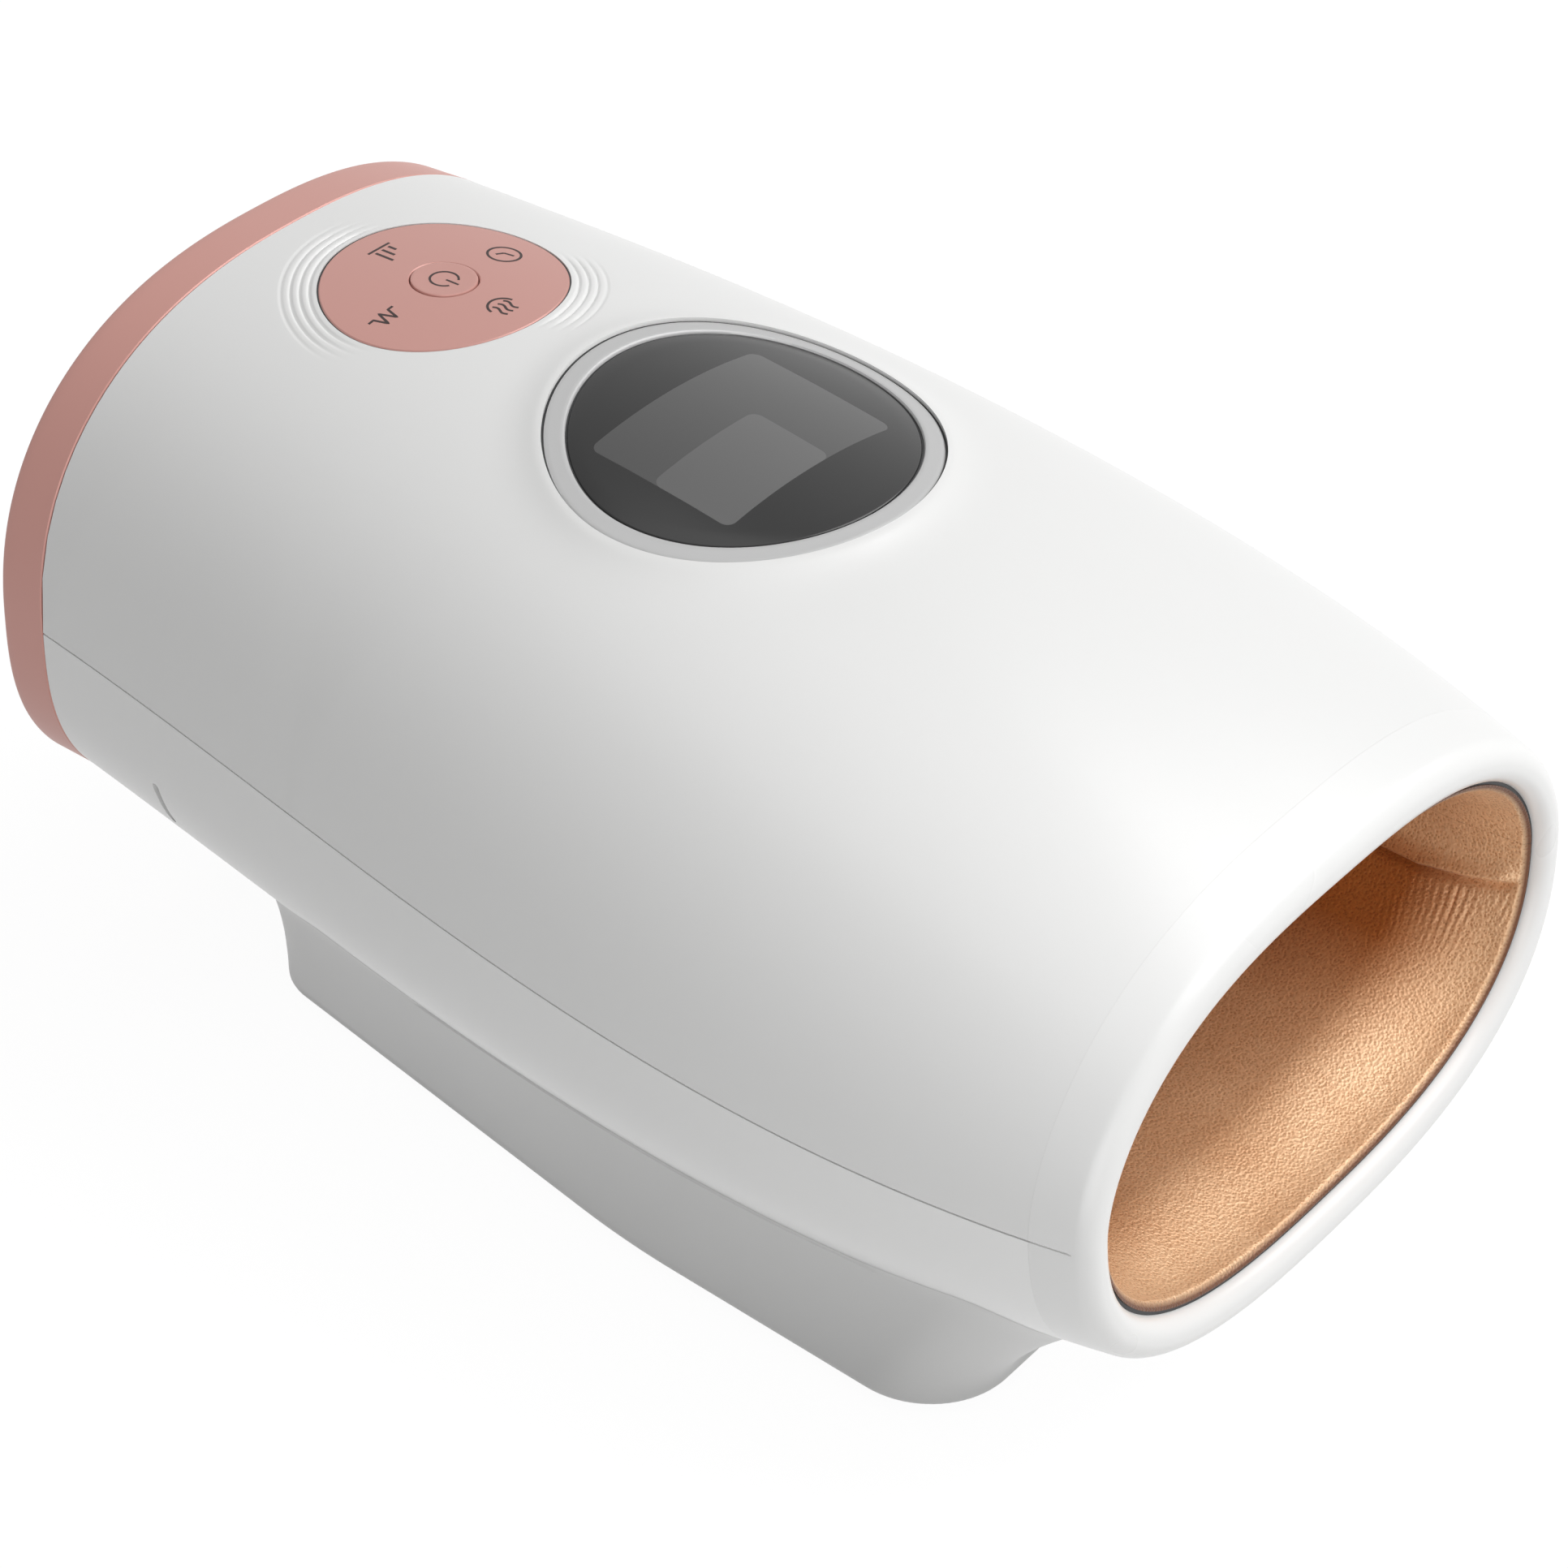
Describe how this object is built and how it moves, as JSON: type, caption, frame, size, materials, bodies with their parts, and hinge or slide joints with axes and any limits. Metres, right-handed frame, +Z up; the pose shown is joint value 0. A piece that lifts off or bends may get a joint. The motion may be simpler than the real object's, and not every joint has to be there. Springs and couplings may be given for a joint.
{
  "type": "hand massager",
  "caption": "Cordless air-pressure hand massager: white barrel on a base, leather-lined hand tunnel, raised display, round control panel with a power button.",
  "frame": {"origin": "centre of the bounding box's bottom face, on the surface that the massager stands on", "axes": "+Z up; -Y out of the hand opening, so +Y runs along the barrel to the trim ring; +X to the right of someone who looks into the opening"},
  "size_m": [0.1494, 0.2131, 0.1181],
  "materials": {
    "white_shell": "satin",
    "rose_gold_trim": "satin metallic paint",
    "grey_bezel": "satin",
    "dark_window": "high gloss",
    "leather": "pebbled, soft sheen",
    "inner_frame": "matte",
    "circuit_board": "satin",
    "black_plastic": "matte",
    "silicone": "satin",
    "heater_film": "matte",
    "foam": "matte",
    "rubber_foot": "matte",
    "steel": "brushed",
    "copper_winding": "lacquered wire",
    "cell_wrap": "matte wrap",
    "wire": "satin"
  },
  "bodies": {
    "housing": {"top_shell": "white_shell", "bottom_shell": "white_shell", "front_rim": "white_shell", "rear_ring": "rose_gold_trim", "rear_cover": "white_shell", "base_housing": "white_shell", "base_plate": "white_shell", "rubber_foot_front_left": "rubber_foot", "rubber_foot_front_right": "rubber_foot", "rubber_foot_rear_left": "rubber_foot", "rubber_foot_rear_right": "rubber_foot", "upper_cradle": "inner_frame", "lower_cradle": "inner_frame", "lining_upper": "leather", "lining_lower": "leather", "upper_airbag": "silicone", "palm_foam": "foam", "display_bezel": "grey_bezel", "display_window": "dark_window", "lcd_module": "black_plastic", "display_header": "black_plastic", "control_panel": "rose_gold_trim", "tact_switch": "black_plastic", "key_board": "circuit_board", "key_ribbon": "white_shell", "main_board": "circuit_board", "motor_can": "steel", "motor_end_cap": "black_plastic", "pump_head": "black_plastic", "pump_bracket": "steel", "valve_body": "steel", "air_hose": "silicone", "relief_hose": "silicone", "battery_pack": "cell_wrap", "battery_lead": "wire", "charge_lead": "black_plastic", "charging_socket": "steel", "socket_board": "circuit_board", "board_screw_1": "steel", "board_screw_2": "steel", "board_screw_3": "steel", "board_screw_4": "steel", "key_board_screw_1": "steel", "key_board_screw_2": "steel", "base_screw_1": "steel", "base_screw_2": "steel", "base_screw_3": "steel", "base_screw_4": "steel"},
    "power_button": {"power_button": "rose_gold_trim"},
    "ceiling_cushion": {"heating_pad": "heater_film"},
    "pump_rotor": {"motor_rotor": "copper_winding", "pump_crank": "inner_frame"},
    "release_plunger": {"valve_plunger": "steel"}
  },
  "joints": [
    {"name": "power_press", "type": "slide", "parent": "housing", "child": "power_button", "axis": [0, 0.0209, -0.9998], "range_m": [0, 0.0006], "stiffness_N_per_m": 800, "springref_m": -0.001},
    {"name": "ceiling_squeeze", "type": "slide", "parent": "housing", "child": "ceiling_cushion", "axis": [0, 0, -1], "range_m": [0, 0.009], "stiffness_N_per_m": 300, "springref_m": -0.01, "deforming": ["upper_airbag", "lining_upper"]},
    {"name": "pump_spin", "type": "hinge", "parent": "housing", "child": "pump_rotor", "pos_m": [0, 0.08112, 0.062], "axis": [1, 0, 0], "continuous": true},
    {"name": "valve_release", "type": "slide", "parent": "housing", "child": "release_plunger", "axis": [1, 0, 0], "range_m": [0, 0.0008], "stiffness_N_per_m": 500, "springref_m": -0.0006}
  ]
}
